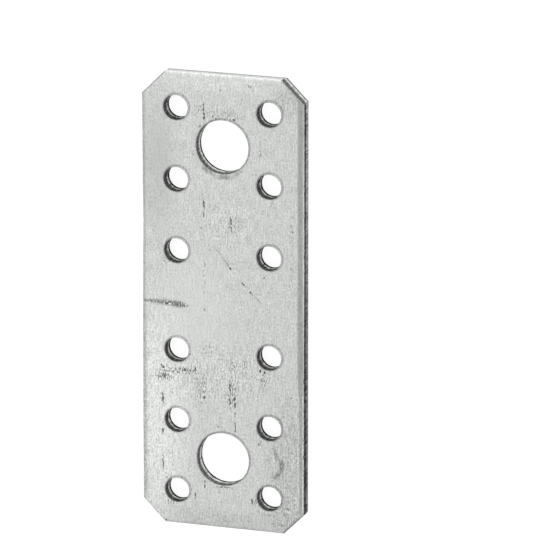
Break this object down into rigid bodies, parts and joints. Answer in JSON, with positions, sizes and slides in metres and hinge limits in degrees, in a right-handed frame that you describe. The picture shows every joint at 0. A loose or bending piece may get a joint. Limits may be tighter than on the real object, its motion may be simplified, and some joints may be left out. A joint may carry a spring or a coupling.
{
  "type": "mending plate",
  "caption": "Flat steel mending plate with clipped corners, two columns of screw holes and a larger bolt hole at each end.",
  "frame": {"origin": "centre of the plate's back face", "axes": "+X across the width, +Y along the length, +Z out of the front face, the side that the holes were punched from"},
  "size_m": [0.035, 0.096, 0.003],
  "materials": {
    "zinc_coated_steel": "zinc coated, satin"
  },
  "bodies": {
    "root": {"plate": "zinc_coated_steel"}
  },
  "joints": []
}
